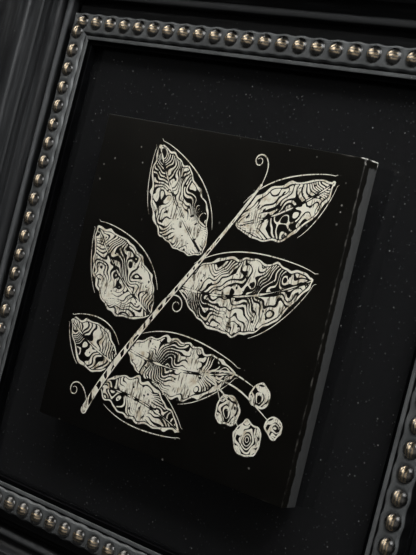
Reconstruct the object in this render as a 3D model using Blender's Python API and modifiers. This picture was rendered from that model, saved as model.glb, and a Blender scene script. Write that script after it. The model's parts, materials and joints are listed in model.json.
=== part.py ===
"""A square black picture frame with a beaded inner strip.

It holds a small engraved panel that floats in front of a gloss black board.
The frame hangs upright: its front faces -Y, +Z is up, and the origin is the centre of its box.
Lengths are in millimetres in the values below and become metres where a shape is made.
"""

import math

import bmesh
import bpy
from mathutils import Matrix, Vector

MM = 0.001
NAME = "framed_engraved_panel"

# Driving dimensions, in millimetres
SIGHT = 152.4            # side of the square opening at the front lip
MOULDING_WIDTH = 53.8    # from the lip's edge to the frame's outer side
HUMP_HEIGHT = 7.8        # highest line of the moulding, in front of the lip
RAIL_BACK = 20.5         # back of the moulding, behind the lip
GAP = 0.3                # between pieces that touch

LINER_WIDTH = 9.4        # lip, groove and beaded channel together
LINER_LIP_BACK = 0.65    # underside of the thin lip, behind its front
SLIP_FRONT = 0.95        # front of the inner step, behind the lip
SLIP_INWARD = 1.6        # how far the step shows inside the lip
SLIP_OUTWARD = 1.4       # how far the step runs under the lip
BOARD_FRONT = 4.2        # face of the gloss black board, behind the lip
BOARD_THICK = 4.3

BEAD_ROW = 5.8           # centre line of the beads, outside the lip
BEAD_RADIUS = 2.7
BEAD_SINK = 1.2          # centre of a bead, behind the lip
BEAD_PITCH = SIGHT / 23.0
BEAD_SEGMENTS = 8
BEAD_RINGS = 6
BEADS_PER_SIDE = 25

PANEL_SIDE = 100.0
PANEL_THICK = 6.8
PANEL_FRONT = 6.0        # centre of its face, in front of the lip
PANEL_RISE = 1.5         # its centre sits this far above the frame's
PANEL_LEAN = 1.8         # degrees, its top leans forward
PANEL_ARRIS = 0.3
SPACER_SIDE = 60.0

LEDGE_BACK = BOARD_FRONT + BOARD_THICK
REBATE_STEP = 3.0        # how much wider the rebate is than the liner's seat
BACKING_THICK = 3.0

POINT_LENGTH = 8.0
POINT_WIDTH = 5.0
POINT_THICK = 0.5
POINT_OFFSET = 48.0      # from the middle of a side to each point

HANGER_WIDTH = 46.0
HANGER_HEIGHT = 10.0
HANGER_THICK = 1.0
HANGER_OUT = 32.0        # its middle, outside the lip
HANGER_TEETH = 9
TOOTH_DEPTH = 1.6
NAIL_OUT = 19.0          # each nail, from the hanger's middle
NAIL_RADIUS = 1.8
NAIL_THICK = 0.9

HALF = SIGHT / 2.0
SEAT = LINER_WIDTH + GAP
BACKMOST = RAIL_BACK + GAP + HANGER_THICK + GAP + NAIL_THICK
LIP_Y = (HUMP_HEIGHT - BACKMOST) / 2.0

SIDES = ("top", "right", "bottom", "left")

# Where the first bead of each side lies, as a share of the pitch from the side's middle
BEAD_PHASE = {"top": -0.13, "right": 0.34, "bottom": -0.47, "left": -0.17}


def material(name, colour, roughness, metallic=0.0):
    """A plain Principled material."""
    made = bpy.data.materials.new(name)
    made.use_nodes = True
    shader = made.node_tree.nodes["Principled BSDF"]
    shader.inputs["Base Color"].default_value = (*colour, 1.0)
    shader.inputs["Roughness"].default_value = roughness
    shader.inputs["Metallic"].default_value = metallic
    made.diffuse_color = (*colour, 1.0)
    return made


def collection(name):
    """A new collection in the scene."""
    made = bpy.data.collections.new(name)
    bpy.context.scene.collection.children.link(made)
    return made


def add_object(name, mesh, where, finish=None):
    """An object for a mesh, linked to a collection."""
    made = bpy.data.objects.new(name, mesh)
    where.objects.link(made)
    if finish is not None:
        mesh.materials.clear()
        mesh.materials.append(finish)
    return made


def mesh_from(bm, name):
    """A mesh made from a bmesh, which is then freed."""
    mesh = bpy.data.meshes.new(name)
    bm.to_mesh(mesh)
    bm.free()
    return mesh


def evaluated_mesh(source):
    """The object's shape with its modifiers, as a new mesh."""
    bpy.context.view_layer.update()
    seen = source.evaluated_get(bpy.context.evaluated_depsgraph_get())
    return bpy.data.meshes.new_from_object(seen)


def arc(centre, radius, start, end, steps):
    """Points on a round stretch of an outline, with both ends."""
    points = []
    for step in range(steps + 1):
        angle = math.radians(start + (end - start) * step / steps)
        points.append((centre[0] + radius * math.cos(angle), centre[1] + radius * math.sin(angle)))
    return points


def extruded(name, outline, length):
    """A bar whose section is the outline, in metres, centred along its local Z."""
    curve = bpy.data.curves.new(name, "CURVE")
    curve.dimensions = "2D"
    curve.fill_mode = "BOTH"
    curve.extrude = length * MM / 2.0
    spline = curve.splines.new("POLY")
    spline.points.add(len(outline) - 1)
    for point, (x, y) in zip(spline.points, outline):
        point.co = (x * MM, y * MM, 0.0, 1.0)
    spline.use_cyclic_u = True
    guide = bpy.data.objects.new(name, curve)
    bpy.context.scene.collection.objects.link(guide)
    mesh = evaluated_mesh(guide)
    bpy.data.objects.remove(guide)
    bpy.data.curves.remove(curve)
    bm = bmesh.new()
    bm.from_mesh(mesh)
    bpy.data.meshes.remove(mesh)
    bmesh.ops.remove_doubles(bm, verts=bm.verts, dist=0.00001)
    bmesh.ops.recalc_face_normals(bm, faces=bm.faces)
    return bm


def top_side():
    """Turns a bar's section (outward, forward) and length into the frame's top side."""
    return Matrix(((0, 0, 1, 0), (0, -1, 0, LIP_Y * MM), (1, 0, 0, HALF * MM), (0, 0, 0, 1)))


def cut_mitres(bm):
    """Cuts both ends of a top side at 45 degrees, half a gap short of the corner's line."""
    for side in (-1.0, 1.0):
        normal = Vector((side, 0.0, -1.0)).normalized()
        corner = Vector((side * HALF * MM, 0.0, HALF * MM)) - normal * GAP * MM / 2.0
        everything = bm.verts[:] + bm.edges[:] + bm.faces[:]
        bmesh.ops.bisect_plane(bm, geom=everything, plane_co=corner, plane_no=normal, clear_outer=True, dist=0.000001)
        rim = [edge for edge in bm.edges if edge.is_boundary]
        bmesh.ops.holes_fill(bm, edges=rim, sides=0)
    bmesh.ops.recalc_face_normals(bm, faces=bm.faces)


def side_turn(index):
    """The quarter turn about Y that brings the top side to another side."""
    return (0.0, math.radians(90.0 * index), 0.0)


def moulding_outline():
    """The scooped moulding: rebate, ledge, ridge, cove, hump and outer side."""
    rebate = SEAT + REBATE_STEP
    ledge = -5.8
    outline = [(rebate, -RAIL_BACK), (rebate, -LEDGE_BACK), (SEAT, -LEDGE_BACK), (SEAT, ledge)]
    outline += [(15.0, ledge), (15.5, ledge + 0.5)]
    outline += arc((16.5, -3.4), 1.0, 180.0, 0.0, 6)
    outline += [(17.5, -4.0), (18.1, -4.0)]
    outline += arc((18.1, 0.5), 4.5, -80.0, -5.0, 7)
    outline += [(22.9, 0.7), (24.3, 5.5)]
    outline += arc((26.8, 5.3), 2.5, 168.0, 95.0, 5)
    outline += arc((27.5, HUMP_HEIGHT - 90.0), 90.0, 90.0, 79.0, 4)
    outline += arc((MOULDING_WIDTH - 7.8, -2.0), 7.8, 77.0, 0.0, 7)
    outline += [(MOULDING_WIDTH, -RAIL_BACK + 0.8), (MOULDING_WIDTH - 0.8, -RAIL_BACK)]
    return outline


def liner_outline():
    """The thin lip, the narrow groove beside it and the beaded strip's shallow channel."""
    foot = -BOARD_FRONT + GAP
    step = SLIP_OUTWARD + GAP
    outline = [(step, foot), (step, -LINER_LIP_BACK), (0.0, -LINER_LIP_BACK), (0.0, -0.2), (0.2, 0.0)]
    outline += [(1.65, 0.0), (1.8, -0.15), (1.85, -1.3), (2.2, -1.3), (2.25, -0.1), (2.45, 0.1)]
    outline += [(2.8, 0.05), (3.4, -0.6), (BEAD_ROW, -0.8), (8.2, -0.6), (8.8, 0.05)]
    outline += [(9.15, 0.1), (LINER_WIDTH, -0.1), (LINER_WIDTH, foot)]
    return outline


def slip_outline():
    """The plain step that shows just inside the lip."""
    foot = -BOARD_FRONT + GAP
    front = -SLIP_FRONT
    outline = [(SLIP_OUTWARD, foot), (-SLIP_INWARD, foot), (-SLIP_INWARD, front - 0.2)]
    outline += [(-SLIP_INWARD + 0.2, front), (SLIP_OUTWARD, front)]
    return outline


def rails(prefix, outline, parts, finish):
    """Four mitred sides that share one plain mesh."""
    bm = extruded(prefix, outline, SIGHT + 2.0 * MOULDING_WIDTH + 4.0)
    bm.transform(top_side())
    cut_mitres(bm)
    mesh = mesh_from(bm, prefix)
    for index, side in enumerate(SIDES):
        rail = add_object(f"{prefix}_{side}", mesh, parts, finish)
        rail.rotation_euler = side_turn(index)


def bead_places(side):
    """Each bead's distance along a side from the side's middle, clear of the mitred ends."""
    reach = HALF + BEAD_ROW - BEAD_RADIUS / 2.0
    first = -(BEADS_PER_SIDE // 2) - 1
    places = [(first + step + BEAD_PHASE[side]) * BEAD_PITCH for step in range(BEADS_PER_SIDE + 2)]
    return [place for place in places if abs(place) < reach]


def bead_row(side, cutters):
    """The side's beads as loose balls in one mesh, ready to be joined to the strip."""
    bm = bmesh.new()
    lie_down = Matrix.Rotation(math.radians(90.0), 4, "X")
    for place in bead_places(side):
        centre = Vector((place * MM, (LIP_Y + BEAD_SINK) * MM, (HALF + BEAD_ROW) * MM))
        spot = Matrix.Translation(centre) @ lie_down
        bmesh.ops.create_uvsphere(
            bm, u_segments=BEAD_SEGMENTS, v_segments=BEAD_RINGS, radius=BEAD_RADIUS * MM, matrix=spot)
    row = add_object(f"beads_{side}", mesh_from(bm, f"beads_{side}"), cutters)
    row.hide_render = True
    row.display_type = "WIRE"
    return row


def beaded_liners(parts, cutters, finish):
    """Four mitred liners, each with its own row of beads grown from its channel."""
    for index, side in enumerate(SIDES):
        bm = extruded("liner", liner_outline(), SIGHT + 2.0 * LINER_WIDTH + 4.0)
        bm.transform(top_side())
        strip = add_object("liner_bar", mesh_from(bm, "liner_bar"), cutters)
        union = strip.modifiers.new("beads", "BOOLEAN")
        union.operation = "UNION"
        union.solver = "EXACT"
        union.object = bead_row(side, cutters)
        bm = bmesh.new()
        joined = evaluated_mesh(strip)
        bm.from_mesh(joined)
        bpy.data.meshes.remove(joined)
        bpy.data.objects.remove(strip)
        cut_mitres(bm)
        liner = add_object(f"beaded_liner_{side}", mesh_from(bm, f"beaded_liner_{side}"), parts, finish)
        liner.rotation_euler = side_turn(index)


def block(name, size, centre, parts, finish, arris=0.0):
    """A box with its arrises taken off. Size and centre are X, Y, Z in millimetres."""
    bm = bmesh.new()
    bmesh.ops.create_cube(bm, size=1.0, matrix=Matrix.Diagonal((*(value * MM for value in size), 1.0)))
    made = add_object(name, mesh_from(bm, name), parts, finish)
    made.location = [value * MM for value in centre]
    if arris:
        edge = made.modifiers.new("arris", "BEVEL")
        edge.width = arris * MM
        edge.segments = 1
    return made


def boards(parts, gloss_black, hardboard):
    """The gloss black board behind the panel and the hardboard that closes the back."""
    side = 2.0 * (HALF + LINER_WIDTH)
    middle = LIP_Y + BOARD_FRONT + BOARD_THICK / 2.0
    block("background_board", (side, BOARD_THICK, side), (0.0, middle, 0.0), parts, gloss_black)
    side = 2.0 * (HALF + LINER_WIDTH + REBATE_STEP)
    middle = LIP_Y + LEDGE_BACK + GAP + BACKING_THICK / 2.0
    block("backing_board", (side, BACKING_THICK, side), (0.0, middle, 0.0), parts, hardboard)


def panel_and_spacer(parts, black_panel, foam):
    """The leaning panel and the hidden wedge that holds it off the board."""
    lean = math.radians(PANEL_LEAN)
    middle_y = LIP_Y - PANEL_FRONT + PANEL_THICK / 2.0
    size = (PANEL_SIDE, PANEL_THICK, PANEL_SIDE)
    panel = block("engraved_panel", size, (0.0, middle_y, PANEL_RISE), parts, black_panel, PANEL_ARRIS)
    panel.rotation_euler = (lean, 0.0, 0.0)

    rear_y = LIP_Y + BOARD_FRONT - GAP
    front_y = middle_y + (PANEL_THICK / 2.0 + GAP) / math.cos(lean)
    thick = rear_y - front_y
    centre = (0.0, (rear_y + front_y) / 2.0, PANEL_RISE)
    wedge = block("panel_spacer", (SPACER_SIDE, thick, SPACER_SIDE), centre, parts, foam)
    for vertex in wedge.data.vertices:
        if vertex.co.y < 0.0:
            vertex.co.y -= vertex.co.z * math.tan(lean)


def points(parts, steel):
    """Two flat framing points on each side, over the edge of the backing board."""
    away = HALF + LINER_WIDTH + REBATE_STEP - POINT_LENGTH / 2.0
    y = LIP_Y + LEDGE_BACK + GAP + BACKING_THICK + GAP + POINT_THICK / 2.0
    for index, side in enumerate(SIDES):
        for number, shift in enumerate((-POINT_OFFSET, POINT_OFFSET), start=1):
            turn = Matrix.Rotation(math.radians(90.0 * index), 4, "Y")
            size = (POINT_WIDTH, POINT_THICK, POINT_LENGTH)
            made = block(f"framing_point_{side}_{number}", size, (0.0, 0.0, 0.0), parts, steel)
            made.location = turn @ Vector((shift * MM, y * MM, away * MM))
            made.rotation_euler = side_turn(index)


def hanger_outline():
    """A strip with a row of teeth along its lower edge."""
    half = HANGER_WIDTH / 2.0
    low = -HANGER_HEIGHT / 2.0
    pitch = 2.6
    outline = [(-half, low + 2.0), (-HANGER_TEETH * pitch / 2.0 - 2.0, low)]
    for tooth in range(HANGER_TEETH):
        start = (tooth - HANGER_TEETH / 2.0) * pitch
        outline += [(start, low), (start + pitch / 2.0, low + TOOTH_DEPTH)]
    outline += [(HANGER_TEETH * pitch / 2.0, low), (HANGER_TEETH * pitch / 2.0 + 2.0, low)]
    outline += [(half, low + 2.0), (half, -low - 2.0), (half - 2.0, -low), (-half + 2.0, -low), (-half, -low - 2.0)]
    return outline


def hanger(parts, steel):
    """The toothed hanger on the top rail's back, with a nail at each end."""
    bm = extruded("hanger", hanger_outline(), HANGER_THICK)
    stand = Matrix.Rotation(math.radians(90.0), 4, "X")
    y = LIP_Y + RAIL_BACK + GAP + HANGER_THICK / 2.0
    height = HALF + HANGER_OUT
    plate = add_object("sawtooth_hanger", mesh_from(bm, "sawtooth_hanger"), parts, steel)
    plate.matrix_world = Matrix.Translation((0.0, y * MM, height * MM)) @ stand
    y += HANGER_THICK / 2.0 + GAP + NAIL_THICK / 2.0
    for name, side in (("left", -1.0), ("right", 1.0)):
        bm = bmesh.new()
        bmesh.ops.create_cone(
            bm, cap_ends=True, segments=12, radius1=NAIL_RADIUS * MM * 0.7, radius2=NAIL_RADIUS * MM,
            depth=NAIL_THICK * MM)
        nail = add_object(f"hanger_nail_{name}", mesh_from(bm, "hanger_nail"), parts, steel)
        nail.matrix_world = Matrix.Translation((side * NAIL_OUT * MM, y * MM, height * MM)) @ stand


def build():
    """Clears the scene and makes every piece."""
    for old in list(bpy.data.objects):
        bpy.data.objects.remove(old)
    parts = collection(NAME)
    cutters = collection("cutters")
    satin_black = material("satin_black_paint", (0.030, 0.031, 0.032), 0.42)
    pewter = material("pewter_beads", (0.10, 0.10, 0.098), 0.35, 0.6)
    flat_black = material("flat_black_step", (0.014, 0.014, 0.015), 0.5)
    gloss_black = material("gloss_black_board", (0.006, 0.006, 0.007), 0.15)
    black_panel = material("warm_black_panel", (0.010, 0.009, 0.008), 0.35)
    foam = material("black_foam", (0.02, 0.02, 0.02), 0.9)
    hardboard = material("hardboard", (0.16, 0.085, 0.04), 0.8)
    steel = material("zinc_plated_steel", (0.55, 0.55, 0.53), 0.35, 1.0)
    rails("frame_rail", moulding_outline(), parts, satin_black)
    rails("inner_slip", slip_outline(), parts, flat_black)
    beaded_liners(parts, cutters, pewter)
    boards(parts, gloss_black, hardboard)
    panel_and_spacer(parts, black_panel, foam)
    points(parts, steel)
    hanger(parts, steel)


build()
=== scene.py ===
import json
import math
import random
from collections import namedtuple

import bpy
import numpy as np
from mathutils import Matrix, Vector

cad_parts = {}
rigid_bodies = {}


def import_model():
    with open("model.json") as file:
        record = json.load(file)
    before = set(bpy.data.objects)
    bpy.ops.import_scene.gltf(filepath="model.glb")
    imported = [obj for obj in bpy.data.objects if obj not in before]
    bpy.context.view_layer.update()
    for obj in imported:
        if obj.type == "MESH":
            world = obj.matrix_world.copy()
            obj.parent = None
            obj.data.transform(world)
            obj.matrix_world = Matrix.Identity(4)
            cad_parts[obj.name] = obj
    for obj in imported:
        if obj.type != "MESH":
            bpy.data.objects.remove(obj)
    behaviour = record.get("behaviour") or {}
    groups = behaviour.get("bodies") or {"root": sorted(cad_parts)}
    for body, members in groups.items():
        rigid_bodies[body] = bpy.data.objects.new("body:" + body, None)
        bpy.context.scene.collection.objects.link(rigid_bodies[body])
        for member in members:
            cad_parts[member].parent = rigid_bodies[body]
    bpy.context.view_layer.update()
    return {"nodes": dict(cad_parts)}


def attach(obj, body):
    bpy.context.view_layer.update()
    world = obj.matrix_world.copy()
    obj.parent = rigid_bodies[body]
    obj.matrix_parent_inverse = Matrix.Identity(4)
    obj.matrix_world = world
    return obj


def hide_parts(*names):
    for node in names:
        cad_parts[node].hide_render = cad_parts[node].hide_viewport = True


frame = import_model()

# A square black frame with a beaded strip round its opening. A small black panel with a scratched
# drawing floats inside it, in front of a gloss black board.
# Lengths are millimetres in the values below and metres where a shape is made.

MM = 0.001
TOUCHING = 1e-6         # metres between points that count as one
SIDES = ("top", "right", "bottom", "left")

# The frame, as the solids have it
SIGHT = 152.4           # side of the square opening at the front lip
HALF = SIGHT / 2.0
MOULDING_WIDTH = 53.8   # from the lip's edge to the frame's outer side
HUMP_HEIGHT = 7.8       # highest line of the moulding, in front of the lip
RAIL_BACK = 20.5        # back of the moulding, behind the lip
GAP = 0.3               # between pieces that touch
LINER_WIDTH = 9.4
LINER_LIP_BACK = 0.65   # underside of the thin lip, behind its front
SEAT = LINER_WIDTH + GAP
REBATE_STEP = 3.0       # how much wider the rebate is than the liner's seat
REBATE = SEAT + REBATE_STEP
BOARD_FRONT = 4.2       # face of the black board, behind the lip
BOARD_THICK = 4.3
LEDGE_BACK = BOARD_FRONT + BOARD_THICK
LINER_FOOT = -BOARD_FRONT + GAP
HANGER_THICK = 1.0
NAIL_THICK = 0.9
BACKMOST = RAIL_BACK + GAP + HANGER_THICK + GAP + NAIL_THICK
LIP_Y = (HUMP_HEIGHT - BACKMOST) / 2.0

# The moulding's cross-section: places are out from the lip's edge and in front of the lip
LEDGE = -5.8            # the flat beside the liner
GROOVE_BED = LEDGE - 2.0
RIDGE = (16.5, -4.2)
RIDGE_RADIUS = 1.4
HOLLOW = (17.7, -1.0)
HOLLOW_RADIUS = 3.6
SHOULDER = (29.5, 4.5)
SHOULDER_RADIUS = 3.2
HUMP_START = 29.8
HUMP_RADIUS = 90.0
OUTER_ROUND = 7.8       # radius of the outer round-over
OUTER_ROUND_SINK = 2.0  # its middle, behind the lip
BACK_CHAMFER = 0.8
MITRE_GAP = 0.01        # each end stops this far short of the mitre
MITRE_WASTE = 4.0       # extra length that the mitres cut away

# Painted highlight of light grey on the ridge: its middle, and the half widths where it is full and where
# it ends
RIDGE_HIGHLIGHT_LINE = 16.4
RIDGE_HIGHLIGHT_FULL = 0.8
RIDGE_HIGHLIGHT_END = 1.3
RIDGE_HIGHLIGHT_WANDER = 1.2

# The beaded strip
BEAD_ROW = 5.8          # centre line of the beads, outside the lip
BEAD_RADIUS = 2.95
BEAD_SINK = 1.2         # centre of a bead, behind the lip
BEAD_BACK = 0.9         # where a bead is cut off, behind its centre
BEAD_PITCH = SIGHT / 23.0
BEADS_PER_SIDE = 25
# Where the first bead of each side lies, as a share of the pitch from the side's middle
BEAD_PHASE = {"top": -0.13, "right": 0.34, "bottom": -0.47, "left": -0.17}
LIP_ROUND = 0.2
STRIP_INNER = 1.55
STRIP_OUTER = 9.1
STRIP_FOOT = -0.75      # bottom of its rounded edges, in front of the lip
STRIP_RISE = 0.3        # top of its rounded edges
STRIP_CROWN = 0.22      # how much higher its middle is
STRIP_ROUND = 0.75      # width of a rounded edge
STRIP_FULLNESS = 0.8
STRIP_WAVE = 0.18       # how far its edges swing out beside each bead
STRIP_DISH = 0.26       # depth of the dish round each bead
DISH_OVERLAP = 0.4
DISH_EASE = 0.45
SECTIONS_PER_BEAD = 14
# Where the strip's points lie across it, closer together at its rounded edges
STRIP_STEPS = (
    0.0, 0.012, 0.028, 0.048, 0.075, 0.11, 0.15, 0.2, 0.255, 0.31, 0.365, 0.42, 0.475, 0.53,
    0.585, 0.64, 0.695, 0.75, 0.8, 0.85, 0.89, 0.925, 0.952, 0.972, 0.988, 1.0,
)

# Painted shade: the dark line between lip and strip, behind the lip's face
SHADE_LINE_START = 0.15
SHADE_LINE_FULL = 0.5

# Gold rubbed on the beads: in front of the lip, aside from the row's middle, and its streaks
GOLD_START = 0.7
GOLD_FULL = 1.2
GOLD_WIDE = 1.0
GOLD_END = 1.4
GOLD_WANDER = 0.4
GOLD_STREAK = 0.9

# The panel
PANEL_SIDE = 100.0
PANEL_THICK = 6.8
PANEL_FRONT = 6.0       # centre of its face, in front of the lip
PANEL_RISE = 1.5        # its centre sits this far above the frame's
PANEL_LEAN = math.radians(1.8)  # its top leans forward
PANEL_ARRIS = 0.22
PANEL_MIDDLE = (0.0, (LIP_Y - PANEL_FRONT + PANEL_THICK / 2.0) * MM, PANEL_RISE * MM)
PANEL_PLACE = Matrix.Translation(PANEL_MIDDLE) @ Matrix.Rotation(PANEL_LEAN, 4, "X")

# The panel's coating: where it ends on the sides, how far that wanders, and the painted highlight on its
# arrises
COAT_END = (-1.1, -0.8)
COAT_TOP = (-48.0, -47.4)
COAT_WANDER = 3.2
ARRIS_OUTSIDE = 0.28
ARRIS_INSIDE = 0.42
# Painted highlight: where it starts and is full across the panel, and how far the corner glint reaches
GLINT_FROM = 34.0
GLINT_FULL = 49.6
GLINT_CORNER = (97.6, 99.0)

# The drawing: a leaf's foot across and up, direction in degrees, length, half width and bend
Leaf = namedtuple("Leaf", "across up heading length half_width bend")
LEAVES = (
    Leaf(-22.0, -27.0, 158.0, 25.0, 7.5, 0.10),
    Leaf(-19.0, -21.0, 4.0, 43.0, 9.0, -0.14),
    Leaf(-13.0, -9.0, 143.0, 38.0, 10.5, 0.12),
    Leaf(-5.0, 2.0, 14.0, 49.0, 11.5, -0.16),
    Leaf(1.0, 13.0, 131.0, 40.0, 10.0, 0.10),
    Leaf(11.0, 24.0, 30.0, 36.0, 8.0, -0.12),
    Leaf(-27.0, -35.0, -8.0, 36.0, 6.5, 0.12),
)
LEAF_SKEW = 0.85        # below 1, a leaf is widest nearer its foot
LEAF_FULLNESS = 0.8
LEAF_RAGGED = 0.35      # how far its edge wavers
LEAF_BORDER = 1.0       # black between its rim and its stripes
STRIPE_PITCH = 3.1
STRIPE_SLANT = 1.15     # how steeply the stripes run from the midrib
# The lines beside each leaf: how far outside it, its first and last share of the length, width
MARGINS = ((1.7, 0.12, 1.03, 0.34), (1.3, 0.55, 1.02, 0.26))
MARGIN_STEPS = 40

STEM = ((-31.0, -44.0), (-22.0, -20.0), (0.0, 6.0), (17.0, 37.0))
STEM_THICK = 1.25
STEM_TAPER = 0.85
STEM_STEPS = 240
STEM_GRAIN_STRETCH = 0.45

# Each seed case: across, up, radius
FRUIT = ((24.0, -29.0, 4.6), (34.0, -22.0, 3.8), (33.0, -35.0, 5.2), (41.0, -29.5, 3.2))
FRUIT_FOOT = (10.0, -21.0)
FRUIT_BORDER = 0.7
RING_PITCH = 1.25
STALK_BOW = 4.0
STALK_STEPS = 24
STALK_WIDTH = 0.5

# Each tendril: foot, direction in degrees, length, how much it curls, width
TENDRILS = (
    ((17.0, 37.0), 75.0, 20.0, 22.0, 0.4),
    ((-12.0, -8.0), 62.0, 24.0, -20.0, 0.36),
    ((-30.0, -42.0), 120.0, 20.0, 20.0, 0.36),
)
TENDRIL_STEPS = 60

# The drawing's waviness: the first seed and the wavelength of each kind of wave
SLOW_WAVES = (40, 15.0)
QUICK_WAVES = (60, 5.0)
SHADE_WAVES = (80, 18.0)
HATCH_WAVES = (100, 2.1)
RING_WAVES = (120, 4.0)
STEM_WAVES = (7, 2.6)
WAVE_COUNT = 14
WAVE_SPREAD = (0.65, 1.6)

GRID_STEP = 0.2
GRID_REACH = 47.0
DRAWING_LIFT = 0.03     # in front of the panel's face

# The photograph's camera
IMAGE_LONG_SIDE = 555.0
FOCAL_PIXELS = 1264.5
SENSOR_WIDTH = 36.0
CAMERA_PLACE = (0.23963, -0.31023, 0.01210)
CAMERA_TURN = (89.4676, -14.5485, 38.4305)
CAMERA_SHIFT = (-0.00063, -0.00278)

# Each soft box: azimuth and elevation in degrees, distance, width and height in metres, glow,
# colour, what it lights if not everything, and whether it is mirrored
SOFT_BOXES = {
    "front_card": (-32.0, 24.0, 0.60, 0.42, 0.34, 1.3, (1.0, 0.96, 0.90), "bead_rows", True),
    "white_key": (55.0, 48.0, 0.50, 0.12, 0.12, 26.0, (0.97, 0.99, 1.0), "other_pieces", True),
    "white_card": (62.0, 42.0, 0.50, 0.22, 0.24, 2.1, (0.97, 0.99, 1.0), "bead_rows", True),
    "brown_room": (15.0, -5.0, 0.80, 1.60, 0.80, 0.2, (1.0, 0.94, 0.87), "bead_rows", True),
    "overhead": (0.0, 74.0, 0.60, 0.50, 0.35, 5.0, (0.97, 0.99, 1.0), None, False),
    "right_side": (74.0, 35.0, 0.60, 0.30, 0.50, 6.0, (0.96, 0.98, 1.0), "other_pieces", True),
    "left_side": (-75.0, 45.0, 0.60, 0.30, 0.40, 2.4, (1.0, 0.97, 0.92), None, True),
    "front": (-35.0, 27.0, 0.90, 0.60, 0.40, 0.6, (1.0, 0.97, 0.93), None, False),
    "behind": (190.0, 30.0, 1.30, 1.00, 0.80, 7.0, (1.0, 0.98, 0.95), None, True),
}
ROOM_COLOUR = (0.97, 0.99, 1.0, 1.0)
ROOM_GLOW = 0.035
FLOOR_SIDE = 8.0
FLOOR_DROP = HALF + MOULDING_WIDTH + 0.5

GROUPS = {}


def drop_selection():
    """Leaves edit mode with nothing selected, so that the next operator acts on its own piece."""
    if bpy.context.object and bpy.context.object.mode != "OBJECT":
        bpy.ops.object.mode_set(mode="OBJECT")
    bpy.ops.object.select_all(action="DESELECT")


def take(piece):
    """Makes one piece the selected and active one."""
    drop_selection()
    piece.select_set(True)
    bpy.context.view_layer.objects.active = piece


def rename(piece, name):
    """Names a piece and its mesh."""
    piece.name = name
    piece.data.name = name


def finish_modifiers(piece):
    """Applies every modifier of a piece."""
    take(piece)
    for modifier in list(piece.modifiers):
        bpy.ops.object.modifier_apply(modifier=modifier.name)


def face_outwards(piece):
    """Turns every face outwards."""
    take(piece)
    bpy.ops.object.mode_set(mode="EDIT")
    bpy.ops.mesh.select_all(action="SELECT")
    bpy.ops.mesh.normals_make_consistent(inside=False)
    bpy.ops.object.mode_set(mode="OBJECT")


def pick_faces(piece, wanted):
    """Opens a piece in edit mode with only the wanted faces selected."""
    take(piece)
    bpy.ops.object.mode_set(mode="EDIT")
    bpy.ops.mesh.select_mode(type="FACE")
    bpy.ops.mesh.select_all(action="DESELECT")
    bpy.ops.object.mode_set(mode="OBJECT")
    for face in piece.data.polygons:
        face.select = wanted(face)
    bpy.ops.object.mode_set(mode="EDIT")


def drop_slivers(piece):
    """Takes out faces that have no width."""
    take(piece)
    bpy.ops.object.mode_set(mode="EDIT")
    bpy.ops.mesh.select_all(action="SELECT")
    bpy.ops.mesh.dissolve_degenerate(threshold=TOUCHING)
    bpy.ops.object.mode_set(mode="OBJECT")


def smooth(piece, degrees):
    """Shades a piece smooth except at edges sharper than so many degrees."""
    take(piece)
    bpy.ops.object.shade_smooth_by_angle(angle=math.radians(degrees))


def copy_to_side(piece, name, index):
    """A copy of a top-side piece, turned to another side, with its own mesh."""
    twin = piece.copy()
    twin.data = piece.data.copy()
    bpy.context.scene.collection.objects.link(twin)
    rename(twin, name)
    twin.data.transform(Matrix.Rotation(math.radians(90.0 * index), 4, "Y"))
    return twin


def bar(name, outline, start, step, steps):
    """A bar along X with the outline as its cross-section. Outline points are the distance out
    from the lip's edge and the height in front of the lip."""
    drop_selection()
    bpy.ops.mesh.primitive_circle_add(vertices=len(outline), radius=0.01, fill_type="NGON")
    piece = bpy.context.object
    rename(piece, name)
    for vertex, (outward, forward) in zip(piece.data.vertices, outline):
        vertex.co = (start * MM, (LIP_Y - forward) * MM, (HALF + outward) * MM)
    bpy.ops.object.mode_set(mode="EDIT")
    bpy.ops.mesh.select_all(action="SELECT")
    for _ in range(steps):
        bpy.ops.mesh.extrude_region_move(TRANSFORM_OT_translate={"value": (step * MM, 0.0, 0.0)})
    bpy.ops.object.mode_set(mode="OBJECT")
    face_outwards(piece)
    return piece


def cut_mitres(piece):
    """Cuts both ends of a top-side bar to the mitre, a hairline short of it."""
    take(piece)
    for side in (-1.0, 1.0):
        bpy.ops.object.mode_set(mode="EDIT")
        bpy.ops.mesh.select_all(action="SELECT")
        bpy.ops.mesh.bisect(
            plane_co=(0.0, 0.0, MITRE_GAP * MM), plane_no=(side, 0.0, -1.0),
            use_fill=True, clear_outer=True)
        bpy.ops.object.mode_set(mode="OBJECT")


def arc(centre, radius, first, last, steps):
    """Points of an arc in the outline's plane, from one angle to another."""
    points = []
    for step in range(steps + 1):
        angle = math.radians(first + (last - first) * step / steps)
        points.append((centre[0] + radius * math.cos(angle), centre[1] + radius * math.sin(angle)))
    return points


def ease(value):
    """A smooth step from 0 to 1."""
    value = min(1.0, max(0.0, value))
    return value * value * (3.0 - 2.0 * value)


def new_group(name, numbers, outputs):
    """An empty shader group. Numbers are its inputs with their defaults."""
    group = bpy.data.node_groups.new(name, "ShaderNodeTree")
    for label, value in numbers:
        socket = group.interface.new_socket(label, in_out="INPUT", socket_type="NodeSocketFloat")
        socket.default_value = value
    for label in outputs:
        group.interface.new_socket(label, in_out="OUTPUT", socket_type="NodeSocketFloat")
    return group, group.nodes.new("NodeGroupInput"), group.nodes.new("NodeGroupOutput")


def feed(tree, socket, value):
    """Sets a socket to a number, or links another node's output to it."""
    if isinstance(value, (int, float)):
        socket.default_value = value
    else:
        tree.links.new(value, socket)


def math_node(tree, operation, *values):
    """One sum of shader values, each a number or an output."""
    node = tree.nodes.new("ShaderNodeMath")
    node.operation = operation
    for socket, value in zip(node.inputs, values):
        feed(tree, socket, value)
    return node.outputs[0]


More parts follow.
